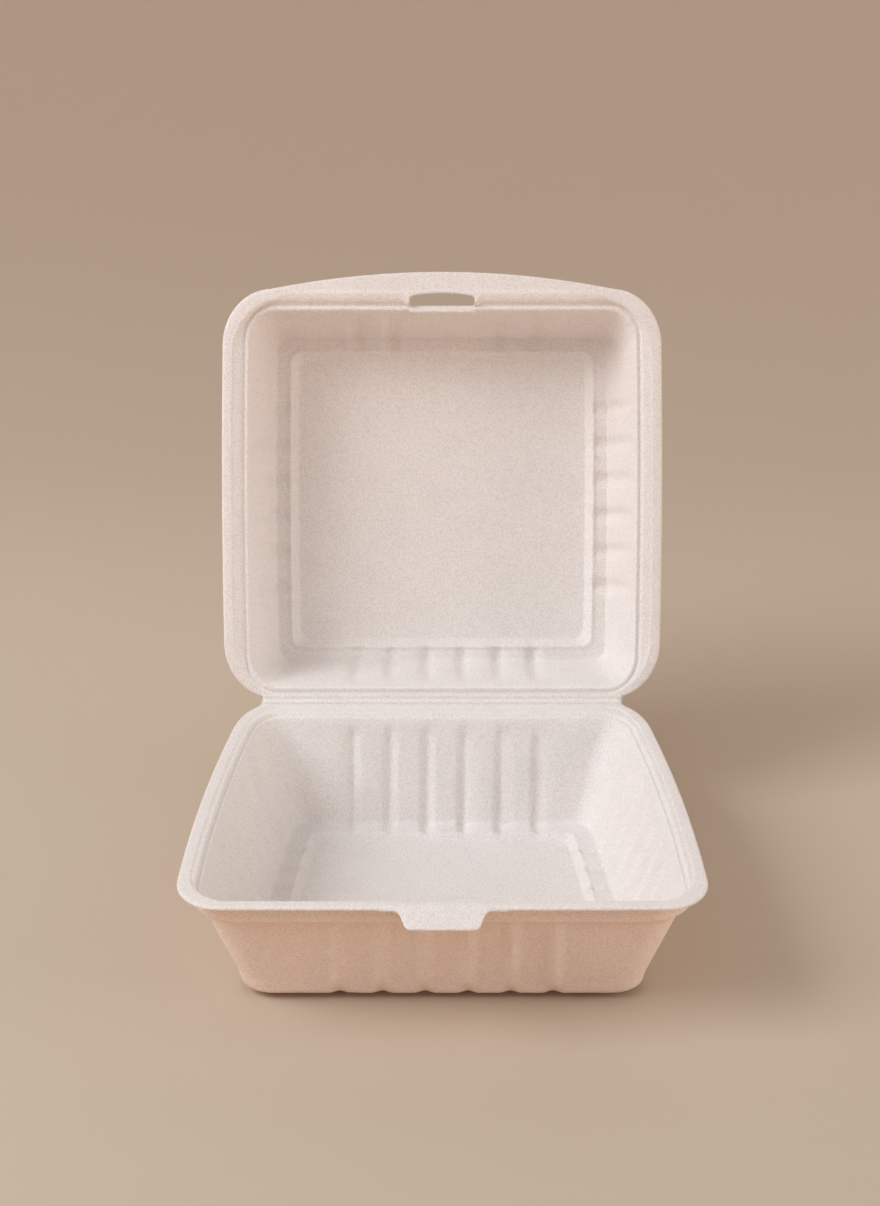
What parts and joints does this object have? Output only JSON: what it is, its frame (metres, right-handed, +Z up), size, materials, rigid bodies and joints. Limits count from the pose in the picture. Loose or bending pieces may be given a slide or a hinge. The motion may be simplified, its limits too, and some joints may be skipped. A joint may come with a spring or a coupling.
{
  "type": "foam clamshell container",
  "caption": "Open square foam clamshell food box: fluted base tray, hinged fluted lid standing open, front tongue and a slot in the bowed lip.",
  "frame": {"origin": "middle of the resting face under the base, halfway from the front edge to the hinge line", "axes": "+Z up, +Y from the front edge with the tongue to the hinge, +X to the right seen from the front"},
  "size_m": [0.1536, 0.2241, 0.1806],
  "materials": {
    "foam": "matte off-white expanded polystyrene foam with a fine cell texture"
  },
  "bodies": {
    "base": {"base_tray": "foam"},
    "lid": {"lid": "foam"}
  },
  "joints": [
    {"name": "lid_hinge", "type": "hinge", "parent": "base", "child": "lid", "pos_m": [0, 0.0713, 0.04115], "axis": [1, 0, 0], "range_deg": [-70, 110]}
  ]
}
